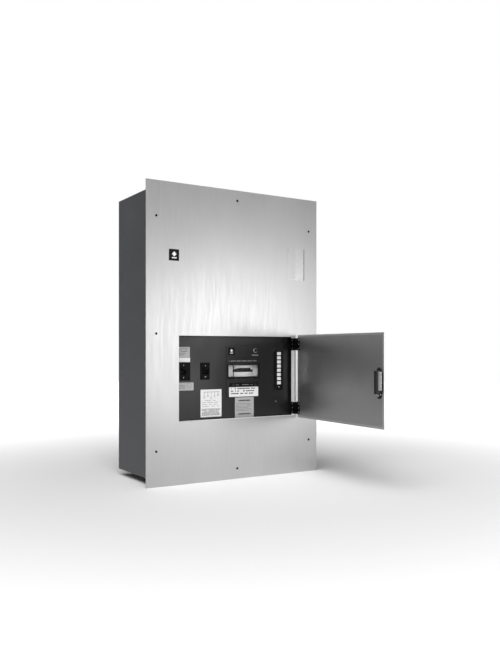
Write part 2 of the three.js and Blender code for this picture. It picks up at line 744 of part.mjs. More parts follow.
function frameHingeGroup() {
  const group = new THREE.Group();
  for (const [name, top] of Object.entries(HINGE_TOPS)) {
    const bottom = top - HINGE_HEIGHT;
    group.add(
      piece(`hinge_frame_leaf_${name}`, frameLeaf(top), BLACK_STEEL),
      piece(`hinge_pin_${name}`, post(PIN_R, AXIS.x, AXIS.y, bottom - 1, top + 1), ZINC),
    );
  }
  return group;
}

// ---------------------------------------------------------------- door and latch, drawn closed

const LATCH = {
  x0: -249.5, x1: -223.5, z0: -229, z1: -120, corner: 12, rim: 4.5,
  front: DOOR_OUTER - GAP - 1.7, back: DOOR_INNER + 1.5,
};
const LATCH_CASE = { x0: -249.5, x1: -235, z0: -212, z1: -131, corner: 3, back: DOOR_INNER + 22.5 };
const PADDLE = { x0: -246.5, x1: -226, z0: -196.5, z1: -131.5, thickness: 3, lip: 4, play: 0.5 };
const PADDLE_PIVOT = { x: PADDLE.x1 - PADDLE.thickness / 2, y: DOOR_OUTER - 0.1 };
const TRUNNION = { r: 0.9, length: 2 };
const TONGUE = {
  z0: -199, z1: -135, tip: -258.5, root: -244, bevel: 6.5, y0: FRONT + 5.5, y1: FRONT + 13.5,
};
const TONGUE_TRAVEL = 7;
const LOCK = { x: -236.5, z: -217, r: 6, bossR: 7.5, bossBack: DOOR_INNER + 6, proud: 2 };

const latchOutline = (grow) => roundedRect(
  LATCH.x0 - grow, LATCH.x1 + grow, LATCH.z0 - grow, LATCH.z1 + grow, LATCH.corner + grow,
);

function doorPanel() {
  const sheet = plate(roundedRect(DOOR.x0, DOOR.x1, DOOR.z0, DOOR.z1, 1.5), DOOR_OUTER, DOOR_INNER);
  return cut(
    sheet, plate(latchOutline(GAP), DOOR_OUTER - OVERSHOOT, DOOR_INNER + OVERSHOOT, 6),
  );
}

/** Pocket for the paddle and its trunnions, channel for the tongue, and bore for the lock. */
function latchWays() {
  const { play, thickness } = PADDLE;
  const front = LATCH.front - OVERSHOOT;
  return [
    block(
      PADDLE.x0 - play, PADDLE.x1 + play, front, PADDLE_PIVOT.y + thickness / 2 + play,
      PADDLE.z0 - play, PADDLE.z1 + play,
    ),
    post(
      TRUNNION.r + PIN_PLAY, PADDLE_PIVOT.x, PADDLE_PIVOT.y,
      PADDLE.z0 - TRUNNION.length - play, PADDLE.z1 + TRUNNION.length + play, 12,
    ),
    block(
      LATCH_CASE.x0 - OVERSHOOT, TONGUE.root + TONGUE_TRAVEL + GAP,
      TONGUE.y0 - GAP, TONGUE.y1 + GAP, TONGUE.z0 - play, TONGUE.z1 + play,
    ),
    spigot(LOCK.r + GAP, LOCK.x, LOCK.z, front, LOCK.bossBack + LOCK.proud + GAP),
  ];
}

/** A rimmed tray let into the door, with the tongue's case and the lock's boss behind it. */
function latchHousing() {
  const { front, back, rim } = LATCH;
  const { x0, x1, z0, z1, corner } = LATCH_CASE;
  return cut(
    join(
      plate(latchOutline(rim), front, DOOR_OUTER - GAP, 6),
      plate(latchOutline(0), front, back, 6),
      plate(roundedRect(x0, x1, z0, z1, corner), back - OVERSHOOT, LATCH_CASE.back),
      spigot(LOCK.bossR, LOCK.x, LOCK.z, back - OVERSHOOT, LOCK.bossBack, 24),
    ),
    ...latchWays(),
  );
}

/** A flush paddle hinged along its right edge, with a lip to pull at its left edge. */
function latchPaddle() {
  const { x0, z0, z1, thickness, lip } = PADDLE;
  const half = thickness / 2;
  const { x, y } = PADDLE_PIVOT;
  const free = x0 - x;
  const [lipTop, lipFoot] = [2.5, 5];
  const shape = new THREE.Shape();
  shape.moveTo(free, half);
  shape.lineTo(free, -half - lip);
  shape.lineTo(free + lipTop, -half - lip);
  shape.lineTo(free + lipFoot, -half);
  shape.lineTo(0, -half);
  shape.absarc(0, 0, half, -Math.PI / 2, Math.PI / 2);
  const trunnion = post(TRUNNION.r, 0, 0, z0 - TRUNNION.length, z1 + TRUNNION.length, 12);
  const mesh = piece('latch_paddle', join(column(shape, z0, z1), trunnion), ZINC);
  mesh.position.set(x, y, 0);
  return mesh;
}

/** The spring tongue: square towards the door, bevelled on its other side to ride the strike. */
function latchTongue() {
  const { z0, z1, tip, root, bevel, y0, y1 } = TONGUE;
  const nose = 1.5;
  return column(outline([
    [root, y0], [root, y1], [tip + bevel, y1], [tip, y0 + nose], [tip, y0],
  ].reverse()), z0, z1);
}

/** The round key plug, with its keyway cut in the front. */
function lockCylinder() {
  const { x, z, r, bossBack, proud } = LOCK;
  const face = LATCH.front - 0.6;
  const keyway = { half: 0.6, height: 7, depth: 5 };
  return cut(
    spigot(r, x, z, face, bossBack + proud),
    block(
      x - keyway.half, x + keyway.half, face - OVERSHOOT, face + keyway.depth,
      z - keyway.height / 2, z + keyway.height / 2,
    ),
  );
}

function doorGroup() {
  const closed = new THREE.Group();
  closed.position.set(-AXIS.x, -AXIS.y, 0);
  closed.add(
    piece('door_panel', doorPanel(), STAINLESS),
    piece('latch_housing', latchHousing(), BLACK_PLASTIC),
    latchPaddle(),
    piece('latch_tongue', latchTongue(), BRIGHT_STEEL),
    piece('lock_cylinder', lockCylinder(), BRIGHT_STEEL),
    ...Object.entries(HINGE_TOPS).map(([name, top]) => (
      piece(`hinge_door_leaf_${name}`, doorLeaf(top), BLACK_STEEL)
    )),
  );
  const swung = new THREE.Group();
  swung.position.set(AXIS.x, AXIS.y, 0);
  swung.rotation.z = rad(DOOR_REST_DEG);
  return swung.add(closed);
}

export default new THREE.Group().add(
  trimGroup(), interiorGroup(), breakerGroup(), monitorGroup(), indicatorGroup(),
  supplyGroup(), frameHingeGroup(), doorGroup(),
);
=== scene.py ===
"""Looks of the flush isolated-power subpanel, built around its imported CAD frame.

Metres in the frame's own axes: +X to the right, the front faces -Y, +Z up. Helper calls that
build shapes take millimetres, because the panel's details are drawn in millimetres.
"""
import json
import math
import random

import bmesh
import bpy
from mathutils import Matrix, Vector


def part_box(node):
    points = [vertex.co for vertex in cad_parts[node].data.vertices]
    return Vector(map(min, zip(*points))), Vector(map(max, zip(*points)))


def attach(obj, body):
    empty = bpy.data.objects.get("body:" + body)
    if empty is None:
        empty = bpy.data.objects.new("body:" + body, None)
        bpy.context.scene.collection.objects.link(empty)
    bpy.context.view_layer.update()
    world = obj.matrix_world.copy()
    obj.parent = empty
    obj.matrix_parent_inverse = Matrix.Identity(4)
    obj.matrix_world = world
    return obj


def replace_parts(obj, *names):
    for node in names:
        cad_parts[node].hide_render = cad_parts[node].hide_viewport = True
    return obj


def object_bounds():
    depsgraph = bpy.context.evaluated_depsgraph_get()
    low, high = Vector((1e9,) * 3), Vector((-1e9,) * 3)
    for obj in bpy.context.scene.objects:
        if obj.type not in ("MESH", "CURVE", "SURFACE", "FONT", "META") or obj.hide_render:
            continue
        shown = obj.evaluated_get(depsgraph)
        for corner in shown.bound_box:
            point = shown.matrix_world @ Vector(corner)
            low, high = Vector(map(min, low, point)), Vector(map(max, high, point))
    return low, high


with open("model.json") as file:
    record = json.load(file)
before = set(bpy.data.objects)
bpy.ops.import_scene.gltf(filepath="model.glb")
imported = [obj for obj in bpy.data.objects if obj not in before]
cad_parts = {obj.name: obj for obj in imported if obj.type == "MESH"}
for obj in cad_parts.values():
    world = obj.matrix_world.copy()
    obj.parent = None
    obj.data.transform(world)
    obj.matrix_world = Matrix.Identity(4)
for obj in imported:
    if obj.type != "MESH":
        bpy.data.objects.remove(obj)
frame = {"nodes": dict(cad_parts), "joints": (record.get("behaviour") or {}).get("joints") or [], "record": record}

CAD_BOX = [list(corner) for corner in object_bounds()]
SCENE = bpy.context.scene
MM = 0.001


# ---------------------------------------------------------------- places read from the frame

SLOT_OF = {part["node"]: part["material_slot"] for part in frame["record"]["subparts"]}
BODY_OF = {
    node: body for body, nodes in frame["record"]["behaviour"]["bodies"].items() for node in nodes
}
HINGE = next(joint for joint in frame["joints"] if joint["name"] == "door_hinge")
HINGE_AT = Vector(HINGE["pos_m"])
DOOR_OPEN = -math.radians(HINGE["range_deg"][0])  # how far the door at rest is from shut
SWING = (
    Matrix.Translation(HINGE_AT)
    @ Matrix.Rotation(DOOR_OPEN, 4, "Z")
    @ Matrix.Translation(-HINGE_AT)
)


def box_mm(node):
    """A CAD node's box at rest, as ((x0, x1), (y0, y1), (z0, z1)) in millimetres."""
    low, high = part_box(node)
    return tuple((low[i] / MM, high[i] / MM) for i in range(3))


def closed_box_mm(node):
    """The box that a piece on the door has when the door is shut, in millimetres."""
    back = SWING.inverted()
    points = [back @ v.co for v in frame["nodes"][node].data.vertices]
    return tuple((min(p[i] for p in points) / MM, max(p[i] for p in points) / MM) for i in range(3))


def middle(span):
    """The middle of a (low, high) pair."""
    return (span[0] + span[1]) / 2


DOOR_INNER = closed_box_mm("door_panel")[1][1]  # the shut door's inner face


# ---------------------------------------------------------------- camera, light and floor

CAMERA_AT = (-1.4462, -2.7395, -0.0611)
CAMERA_YAW = 31.914  # degrees to the right of straight ahead
CAMERA_SHIFT = 0.02526
FOCAL_LENGTH = 39.13
SENSOR_WIDTH = 36

# The world's light goes from the front level to the back level with the Y of the direction it
# comes from. The camera itself sees an even backdrop.
WORLD_FRONT, WORLD_FRONT_Y = 0.3, -0.9
WORLD_BACK, WORLD_BACK_Y = 0.05, 0.5
WORLD_SEEN = 1.0

FLOOR_MIDDLE = (0, -0.4)
FLOOR_RADIUS = 9.0
FLOOR_GAP = 0.0005  # below the panel's lowest point
FLOOR_ROUGHNESS = 0.8
FLOOR_SEEN = 0.9
FLOOR_MIRRORED = 0.5  # darker in reflections, so that the steel's lower part isn't washed out
FLOOR_GLOW = 0.75
FLOOR_GLOW_FROM, FLOOR_GLOW_TO = 0.5, 3.0  # distances from its middle where the glow grows

MIX_FACTOR, MIX_FIRST, MIX_SECOND, MIX_RESULT = 0, 6, 7, 2  # sockets of a Mix node for colours


def rgba(colour):
    """A grey level or an (r, g, b) colour, as the four numbers of a colour socket."""
    return (*colour, 1) if hasattr(colour, "__len__") else (colour, colour, colour, 1)


def scaled(colour, by):
    """A grey level or an (r, g, b) colour, made lighter or darker."""
    return tuple(c * by for c in colour) if hasattr(colour, "__len__") else colour * by


def map_range(tree, value, start, end, low, high, curve="LINEAR"):
    """A level that goes from low to high while a value goes from start to end."""
    node = tree.nodes.new("ShaderNodeMapRange")
    node.interpolation_type = curve
    node.inputs["From Min"].default_value = start
    node.inputs["From Max"].default_value = end
    node.inputs["To Min"].default_value = low
    node.inputs["To Max"].default_value = high
    tree.links.new(value, node.inputs["Value"])
    return node.outputs["Result"]


def colour_mix(tree, factor, first, second):
    """A node that blends two colours, with more of the second where the factor is high."""
    mix = tree.nodes.new("ShaderNodeMix")
    mix.data_type = "RGBA"
    mix.inputs[MIX_FIRST].default_value = rgba(first)
    mix.inputs[MIX_SECOND].default_value = rgba(second)
    tree.links.new(factor, mix.inputs[MIX_FACTOR])
    return mix


def add_camera():
    data = bpy.data.cameras.new("camera")
    data.sensor_width = SENSOR_WIDTH
    data.lens = FOCAL_LENGTH
    data.shift_y = CAMERA_SHIFT
    camera = bpy.data.objects.new("camera", data)
    camera.location = CAMERA_AT
    camera.rotation_euler = (math.radians(90), 0, -math.radians(CAMERA_YAW))
    SCENE.collection.objects.link(camera)
    SCENE.camera = camera


def add_softbox(name, at, aim, size, power):
    data = bpy.data.lights.new(name, "AREA")
    data.shape = "RECTANGLE"
    data.size, data.size_y = size
    data.energy = power
    light = bpy.data.objects.new(name, data)
    light.location = at
    light.rotation_euler = (Vector(aim) - Vector(at)).to_track_quat("-Z", "Y").to_euler()
    SCENE.collection.objects.link(light)


def add_sun(name, towards, strength, softness):
    """A light from one direction everywhere, `softness` degrees wide."""
    data = bpy.data.lights.new(name, "SUN")
    data.energy = strength
    data.angle = math.radians(softness)
    light = bpy.data.objects.new(name, data)
    light.rotation_euler = Vector(towards).to_track_quat("Z", "Y").to_euler()
    SCENE.collection.objects.link(light)


def add_lights():
    """The trim mirrors the front softbox, the left one lights the opening and the open door."""
    add_softbox("front_softbox", at=(1.42, -3.0, 0.07), aim=(0.3, -0.3, 0), size=(1.46, 1.0),
                power=10.8)
    add_softbox("left_softbox", at=(-1.4, -3.2, 2.3), aim=(0, -0.2, 0), size=(1.6, 1.6), power=40)
    add_sun("overhead_light", towards=(-0.45, -0.35, 1.0), strength=1.9, softness=50)


def add_world():
    """A studio that is lighter in front of the panel than behind it, on a white backdrop."""
    world = bpy.data.worlds.new("studio")
    SCENE.world = world
    world.use_nodes = True
    tree = world.node_tree
    direction = tree.nodes.new("ShaderNodeSeparateXYZ")
    coords = tree.nodes.new("ShaderNodeTexCoord")
    tree.links.new(coords.outputs["Generated"], direction.inputs["Vector"])
    fill = tree.nodes["Background"]
    fill.inputs["Color"].default_value = rgba(1)
    level = map_range(tree, direction.outputs["Y"], WORLD_FRONT_Y, WORLD_BACK_Y, WORLD_FRONT,
                      WORLD_BACK, "SMOOTHSTEP")
    tree.links.new(level, fill.inputs["Strength"])
    seen = tree.nodes.new("ShaderNodeBackground")
    seen.inputs["Color"].default_value = rgba(1)
    seen.inputs["Strength"].default_value = WORLD_SEEN
    path = tree.nodes.new("ShaderNodeLightPath")
    mix = tree.nodes.new("ShaderNodeMixShader")
    tree.links.new(path.outputs["Is Camera Ray"], mix.inputs["Fac"])
    tree.links.new(fill.outputs["Background"], mix.inputs[1])
    tree.links.new(seen.outputs["Background"], mix.inputs[2])
    tree.links.new(mix.outputs["Shader"], tree.nodes["World Output"].inputs["Surface"])


def floor_look():
    """Pale and matt, with a glow that grows with distance until it meets the backdrop."""
    material = bpy.data.materials.new("pale_floor")
    material.use_nodes = True
    tree = material.node_tree
    shader = tree.nodes["Principled BSDF"]
    shader.inputs["Roughness"].default_value = FLOOR_ROUGHNESS
    shader.inputs["Emission Color"].default_value = rgba(1)
    path = tree.nodes.new("ShaderNodeLightPath")
    pale = colour_mix(tree, path.outputs["Is Glossy Ray"], FLOOR_SEEN, FLOOR_MIRRORED)
    tree.links.new(pale.outputs[MIX_RESULT], shader.inputs["Base Color"])
    distance = tree.nodes.new("ShaderNodeVectorMath")
    distance.operation = "LENGTH"
    coords = tree.nodes.new("ShaderNodeTexCoord")
    tree.links.new(coords.outputs["Object"], distance.inputs[0])
    glow = map_range(tree, distance.outputs["Value"], FLOOR_GLOW_FROM, FLOOR_GLOW_TO, 0, FLOOR_GLOW,
                     "SMOOTHSTEP")
    seen = tree.nodes.new("ShaderNodeMath")
    seen.operation = "MULTIPLY"
    tree.links.new(glow, seen.inputs[0])
    tree.links.new(path.outputs["Is Camera Ray"], seen.inputs[1])
    tree.links.new(seen.outputs["Value"], shader.inputs["Emission Strength"])
    return material


def add_floor():
    bm = bmesh.new()
    bmesh.ops.create_circle(bm, cap_ends=True, radius=FLOOR_RADIUS, segments=96)
    mesh = bpy.data.meshes.new("floor")
    bm.to_mesh(mesh)
    bm.free()
    floor = bpy.data.objects.new("floor", mesh)
    floor.location = (*FLOOR_MIDDLE, CAD_BOX[0][2] - FLOOR_GAP)
    SCENE.collection.objects.link(floor)
    mesh.materials.append(floor_look())


# ---------------------------------------------------------------- procedural looks

class Look:
    """A Principled material with short calls for its procedural nodes."""

    def __init__(self, name, colour, roughness, metallic=0.0, **sockets):
        self.material = bpy.data.materials.new(name)
        self.material.use_nodes = True
        self.tree = self.material.node_tree
        self.nodes, self.links = self.tree.nodes, self.tree.links
        self.shader = self.nodes["Principled BSDF"]
        self.colour = colour
        self.shader.inputs["Base Color"].default_value = rgba(colour)
        self.shader.inputs["Roughness"].default_value = roughness
        self.shader.inputs["Metallic"].default_value = metallic
        for socket, value in sockets.items():
            self.shader.inputs[socket.replace("_", " ")].default_value = value
        self.coords = self.nodes.new("ShaderNodeTexCoord").outputs["Object"]
        self.last_normal = None

    def noise(self, scale, detail, stretch=(1, 1, 1)):
        """Noise with `scale` cycles a metre, drawn out along an axis where stretch is below 1."""
        mapping = self.nodes.new("ShaderNodeMapping")
        mapping.inputs["Scale"].default_value = stretch
        texture = self.nodes.new("ShaderNodeTexNoise")
        texture.inputs["Scale"].default_value = scale
        texture.inputs["Detail"].default_value = detail
        self.links.new(self.coords, mapping.inputs["Vector"])
        self.links.new(mapping.outputs["Vector"], texture.inputs["Vector"])
        return texture.outputs["Fac"]

    def level(self, pattern, low, high):
        """Maps a noise pattern, most of which lies between 0.3 and 0.7, onto low..high."""
        return map_range(self.tree, pattern, 0.3, 0.7, low, high)

    def edges(self, radius):
        """A 0..1 pattern that is high along sharp edges, where a rounded normal leans over."""
        bevel = self.nodes.new("ShaderNodeBevel")
        bevel.samples = 4
        bevel.inputs["Radius"].default_value = radius
        geometry = self.nodes.new("ShaderNodeNewGeometry")
        dot = self.nodes.new("ShaderNodeVectorMath")
        dot.operation = "DOT_PRODUCT"
        self.links.new(bevel.outputs["Normal"], dot.inputs[0])
        self.links.new(geometry.outputs["Normal"], dot.inputs[1])
        return map_range(self.tree, dot.outputs["Value"], 0.75, 0.985, 1.0, 0.0)

    def tint(self, pattern, most, other):
        """Blends the colour so far with another: by `most` where the pattern is high."""
        mix = colour_mix(self.tree, self.level(pattern, 0, most), self.colour, other)
        target = self.shader.inputs["Base Color"]
        if target.is_linked:
            self.links.new(target.links[0].from_socket, mix.inputs[MIX_FIRST])
        self.links.new(mix.outputs[MIX_RESULT], target)

    def rough(self, pattern, low, high):
        self.links.new(self.level(pattern, low, high), self.shader.inputs["Roughness"])

    def bump(self, pattern, distance, strength):
        """Raises the surface by up to `distance` metres where the pattern is high."""
        node = self.nodes.new("ShaderNodeBump")
        node.inputs["Strength"].default_value = strength
        node.inputs["Distance"].default_value = distance
        self.links.new(pattern, node.inputs["Height"])
        if self.last_normal is not None:
            self.links.new(self.last_normal, node.inputs["Normal"])
        self.last_normal = node.outputs["Normal"]
        self.links.new(self.last_normal, self.shader.inputs["Normal"])


def brushed_steel(name, grey, roughness, metallic=1.0, grain_depth=1.0):
    """Sheet with an upright brushed grain and faint clouds."""
    look = Look(name, grey, roughness, metallic=metallic)
    grain = look.noise(900, detail=2, stretch=(1, 1, 0.012))
    cloud = look.noise(5, detail=4, stretch=(1, 1, 0.6))
    look.tint(cloud, 0.5, scaled(grey, 0.86))
    look.tint(grain, 0.35, scaled(grey, 1.12))
    look.rough(grain, roughness - 0.05, roughness + 0.07)
    look.bump(cloud, 0.0006 * grain_depth, 0.35)
    look.bump(grain, 0.00002 * grain_depth, 0.6)
    return look


def enamel(name, colour, roughness, shine=0.45):
    """Paint with orange peel, worn lighter along its edges."""
    look = Look(name, colour, roughness, Specular_IOR_Level=shine)
    peel = look.noise(700, detail=2)
    cloud = look.noise(6, detail=5)
    look.tint(cloud, 0.55, scaled(colour, 1.16))
    look.tint(look.edges(0.0012), 0.35, scaled(colour, 2.2))
    look.rough(cloud, roughness - 0.05, roughness + 0.08)
    look.bump(peel, 0.00003, 0.5)
    return look


def moulded(name, grey, roughness, shine=0.5):
    """Black plastic with a fine moulded texture and paler patches from handling."""
    look = Look(name, grey, roughness, Specular_IOR_Level=shine)
    texture = look.noise(1600, detail=2)
    cloud = look.noise(30, detail=4)
    look.tint(cloud, 0.6, scaled(grey, 1.7))
    look.rough(cloud, roughness - 0.06, roughness + 0.1)
    look.bump(texture, 0.00003, 0.5)
    return look


def plated(name, colour, roughness):
    """Bare, plated or oxidised metal with an uneven gloss."""
    look = Look(name, colour, roughness, metallic=1.0)
    cloud = look.noise(60, detail=5)
    fine = look.noise(900, detail=2)
    look.tint(cloud, 0.6, scaled(colour, 0.75))
    look.rough(cloud, roughness - 0.06, roughness + 0.1)
    look.bump(fine, 0.00001, 0.5)
    return look


def card(name, colour):
    """Card, paper wrap or milky plastic, matt and slightly fibrous."""
    look = Look(name, colour, 0.62)
    fibre = look.noise(700, detail=4)
    cloud = look.noise(25, detail=4)
    look.tint(cloud, 0.5, scaled(colour, 0.93))
    look.rough(fibre, 0.55, 0.7)
    look.bump(fibre, 0.00002, 0.4)
    return look


def clear_sheet(name):
    """Nearly clear acrylic, glossy apart from its smudges."""
    look = Look(name, 0.03, 0.06, Alpha=0.07, Specular_IOR_Level=1.0)
    smudge = look.noise(40, detail=5)
    look.rough(smudge, 0.04, 0.16)
    look.tint(smudge, 0.5, 0.06)
    return look


LOOKS = {
    "trim_steel": brushed_steel("brushed_stainless", 0.72, 0.36, grain_depth=0.45),
    "jamb_steel": brushed_steel("jamb_stainless", 0.97, 0.5, metallic=0.15),
    # painted shade: a darker copy of the trim's brushed steel, for the lining sheet over the door's inner face
    "shaded_door_lining": brushed_steel("shaded_door_steel", 0.58, 0.36, grain_depth=0.35),
    "nameplate_steel": brushed_steel("nameplate_stainless", 0.76, 0.3),
    "box_paint": enamel("box_enamel", (0.096, 0.098, 0.103), 0.5),
    "dead_front_paint": enamel("dead_front_enamel", (0.007, 0.0071, 0.0076), 0.32, shine=0.65),
    "black_steel": plated("black_oxide", 0.03, 0.4),
    "zinc_steel": plated("zinc_plate", 0.55, 0.4),
    "breaker_plastic": moulded("breaker_thermoset", 0.004, 0.55, shine=0.15),
    "bezel_plastic": moulded("bezel_black", 0.005, 0.4, shine=0.18),
    "latch_plastic": moulded("latch_nylon", 0.01, 0.4),
    "paddle_metal": plated("paddle_casting", 0.08, 0.45),
    "bright_steel": plated("nickel_plate", 0.85, 0.2),
    "white_print": card("white_card", 0.93),
    # painted light: a whiter copy of the white card for the meter's scale, to make up for the shade in its recess
    "scale_lit_white": card("scale_lit_card", 0.98),
    "grey_print": card("grey_card", 0.5),
    "window_clear": clear_sheet("clear_acrylic"),
    "pointer_black": moulded("pointer_black", 0.01, 0.5),
    "lamp_white": card("milky_acrylic", 0.9),
    "button_plastic": moulded("button_black", 0.015, 0.3),
    "core_iron": plated("varnished_iron", 0.12, 0.55),
    "coil_wrap": card("coil_wrap", (0.16, 0.07, 0.025)),
    "lead_sleeve": moulded("lead_sleeve", 0.015, 0.5),
    "bus_copper": plated("bus_copper", (0.55, 0.27, 0.13), 0.3),
}


# ---------------------------------------------------------------- pieces

ROUNDED_FROM = 30  # degrees between two faces from which their edge is rounded
SHARP_FROM = 40  # degrees from which it is shaded as an edge
FLAT_WITHIN = 0.5  # degrees within which a CAD mesh's faces are merged
WELD_WITHIN = 1e-6  # metres within which a CAD mesh's points are merged
SCREW_ROUNDING = 0.08
INK = 0.06  # how far printing stands off its surface, in millimetres
FACING = {
    "-y": Matrix.Identity(4),
    "+y": Matrix.Rotation(math.pi, 4, "Z"),
    "-x": Matrix.Rotation(-math.pi / 2, 4, "Z"),
}


def soften(obj, width, segments):
    """Rounds sharp edges by `width` millimetres and shades the faces between them flat."""
    if width:
        bevel = obj.modifiers.new("rounded_edges", "BEVEL")
        bevel.width = width * MM
        bevel.segments = segments
        bevel.limit_method = "ANGLE"
        bevel.angle_limit = math.radians(ROUNDED_FROM)
    for face in obj.data.polygons:
        face.use_smooth = True
    obj.data.set_sharp_from_angle(angle=math.radians(SHARP_FROM))
    obj.modifiers.new("even_shading", "WEIGHTED_NORMAL").keep_sharp = True


def place(mesh, name, body, slot, rounding=0.0, segments=2, look=None):
    """Makes a mesh a piece: its rounding, its finish, and the body it moves with."""
    obj = bpy.data.objects.new(name, mesh)
    SCENE.collection.objects.link(obj)
    soften(obj, rounding, segments)
    obj.data.materials.clear()
    obj.data.materials.append(LOOKS[look or slot].material)
    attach(obj, body)
    return obj


def refined(node, rounding=0.3, segments=2):
    """A piece with a CAD node's own shape, its flat faces whole and its edges rounded."""
    bm = bmesh.new()
    bm.from_mesh(frame["nodes"][node].data)
    bmesh.ops.remove_doubles(bm, verts=bm.verts, dist=WELD_WITHIN)
    bmesh.ops.dissolve_limit(
        bm, angle_limit=math.radians(FLAT_WITHIN), verts=bm.verts, edges=bm.edges)
    mesh = bpy.data.meshes.new(node + "_fine")
    bm.to_mesh(mesh)
    bm.free()
    obj = place(mesh, node + "_fine", BODY_OF[node], SLOT_OF[node], rounding, segments)
    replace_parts(obj, node)
    return obj


def circle(centre, radius, sides):
    """Evenly spaced points around a centre, in one plane."""
    turns = [2 * math.pi * i / sides for i in range(sides)]
    return [(centre[0] + radius * math.cos(t), centre[1] + radius * math.sin(t)) for t in turns]


class Shape:
    """Closed solids gathered into one mesh. Every size and place is in millimetres."""

    def __init__(self):
        self.bm = bmesh.new()

    def loop(self, points, axis, w):
        """Vertices at places in the two other axes, all at w along an axis."""
        order = {"x": lambda u, v: (w, u, v), "y": lambda u, v: (u, w, v),
                 "z": lambda u, v: (u, v, w)}[axis]
        return [self.bm.verts.new(order(u, v)) for u, v in points]

    def quad(self, a, b, i):
        """The face between the i-th and the next vertex of two loops."""
        j = (i + 1) % len(a)
        return self.bm.faces.new((a[i], a[j], b[j], b[i]))

    def turned_outwards(self, faces):
        """Makes the faces of a closed solid look out of it."""
        bmesh.ops.recalc_face_normals(self.bm, faces=faces)
        return self

    def prism(self, points, axis, low, high):
        """An outline in the two other axes' plane, made solid from low to high along an axis."""
        ends = [self.loop(points, axis, w) for w in (low, high)]
        faces = [self.bm.faces.new(end) for end in ends]
        return self.turned_outwards(faces + [self.quad(*ends, i) for i in range(len(points))])

    def box(self, x, y, z):
        return self.prism([(x[0], z[0]), (x[1], z[0]), (x[1], z[1]), (x[0], z[1])], "y", *y)

    def rounded(self, x, y, z, radius, steps=5):
        """A plate facing the front, with round corners."""
        points = []
        for cx, cz, first in (
            (x[1] - radius, z[1] - radius, 0), (x[0] + radius, z[1] - radius, 90),
            (x[0] + radius, z[0] + radius, 180), (x[1] - radius, z[0] + radius, 270),
        ):
            for i in range(steps + 1):
                angle = math.radians(first + 90 * i / steps)
                points.append((cx + radius * math.cos(angle), cz + radius * math.sin(angle)))
        return self.prism(points, "y", *y)

    def disc(self, centre, axis, radius, low, high, sides=32):
        """A round bar along an axis, centred at a point in the two other axes."""
        return self.prism(circle(centre, radius, sides), axis, low, high)

    def ring(self, centre, axis, inner, outer, low, high, sides=48):
        """A flat ring around an axis."""
        loops = [
            self.loop(circle(centre, radius, sides), axis, w)
            for radius, w in ((inner, low), (outer, low), (outer, high), (inner, high))
        ]
        return self.turned_outwards([
            self.quad(a, b, i) for a, b in zip(loops, loops[1:] + loops[:1]) for i in range(sides)
        ])

    def turned(self, profile, centre, axis, sides=32):
        """A solid of (radius, place along the axis) points, from one end's tip to the other's."""
        first, last = (self.loop([centre], axis, profile[end][1])[0] for end in (0, -1))
        loops = [self.loop(circle(centre, radius, sides), axis, w) for radius, w in profile[1:-1]]
        faces = []
        for i in range(sides):
            j = (i + 1) % sides
            faces.append(self.bm.faces.new((first, loops[0][i], loops[0][j])))
            faces.append(self.bm.faces.new((last, loops[-1][j], loops[-1][i])))
            faces += [self.quad(a, b, i) for a, b in zip(loops, loops[1:])]
        return self.turned_outwards(faces)

    def mesh(self, name):
        mesh = bpy.data.meshes.new(name)
        self.bm.transform(Matrix.Scale(MM, 4))
        self.bm.to_mesh(mesh)
        self.bm.free()
        return mesh

    def done(self, name, body, slot, rounding=0.0, segments=2, on_door=False):
        """Makes the shape a piece. One on the door is drawn where it is when the door is shut."""
        mesh = self.mesh(name)
        if on_door:
            mesh.transform(SWING)
        return place(mesh, name, body, slot, rounding, segments)


def cut_from(mesh, tool):
    """The mesh with another one cut out of it."""
    objects = [bpy.data.objects.new("work", m) for m in (mesh, tool)]
    for obj in objects:
        SCENE.collection.objects.link(obj)
    cutter = objects[0].modifiers.new("cut", "BOOLEAN")
    cutter.object = objects[1]
    cutter.solver = "EXACT"
    graph = bpy.context.evaluated_depsgraph_get()
    result = bpy.data.meshes.new_from_object(objects[0].evaluated_get(graph))
    for obj in objects:
        bpy.data.objects.remove(obj)
    return result


def cross_screw(head_r, head_h, shank_r, length):
    """A domed cross-recess screw that faces -Y, its head's underside at the origin."""
    solid = Shape().turned([
        (0, -head_h), (head_r * 0.35, -head_h * 0.985), (head_r * 0.6, -head_h * 0.9),
        (head_r * 0.82, -head_h * 0.7), (head_r * 0.96, -head_h * 0.38), (head_r, -head_h * 0.12),
        (head_r, 0), (shank_r, 0), (shank_r, length), (0, length),
    ], (0, 0), "y", sides=40)
    reach, half, depth = head_r * 0.56, head_r * 0.11, head_h * 0.75
    recess = Shape().prism([
        (reach, half), (half, half), (half, reach), (-half, reach), (-half, half), (-reach, half),
        (-reach, -half), (-half, -half), (-half, -reach), (half, -reach), (half, -half),
        (reach, -half),
    ], "y", -head_h - 1, depth - head_h)
    return cut_from(solid.mesh("screw"), recess.mesh("recess"))


def hex_nut(head_r, head_h, shank_r):
    """A hexagon nut that faces -Y, seated at the origin, with its bolt's end standing out."""
    shape = Shape().prism(circle((0, 0), head_r, 6), "y", -head_h, 0)
    shape.disc((0, 0), "y", shank_r, -head_h - shank_r * 0.5, -head_h)
    return shape.mesh("hex_nut")


def screws(name, places, template, body, slot, facing="-y", on_door=False):
    """Copies of one screw in one mesh, each turned by its own chance angle."""
    bm = bmesh.new()
    for x, y, z in places:
        turn = Matrix.Rotation(random.uniform(0, math.pi), 4, "Y")
        part = template.copy()
        part.transform(Matrix.Translation((x * MM, y * MM, z * MM)) @ FACING[facing] @ turn)
        bm.from_mesh(part)
        bpy.data.meshes.remove(part)
    mesh = bpy.data.meshes.new(name)
    bm.to_mesh(mesh)
    bm.free()
    if on_door:
        mesh.transform(SWING)
    return place(mesh, name, body, slot, SCREW_ROUNDING, 1)


def printed(shape, x, z, face):
    """A printed patch on a face that looks to the front."""
    shape.box(x, (face - INK, face), z)


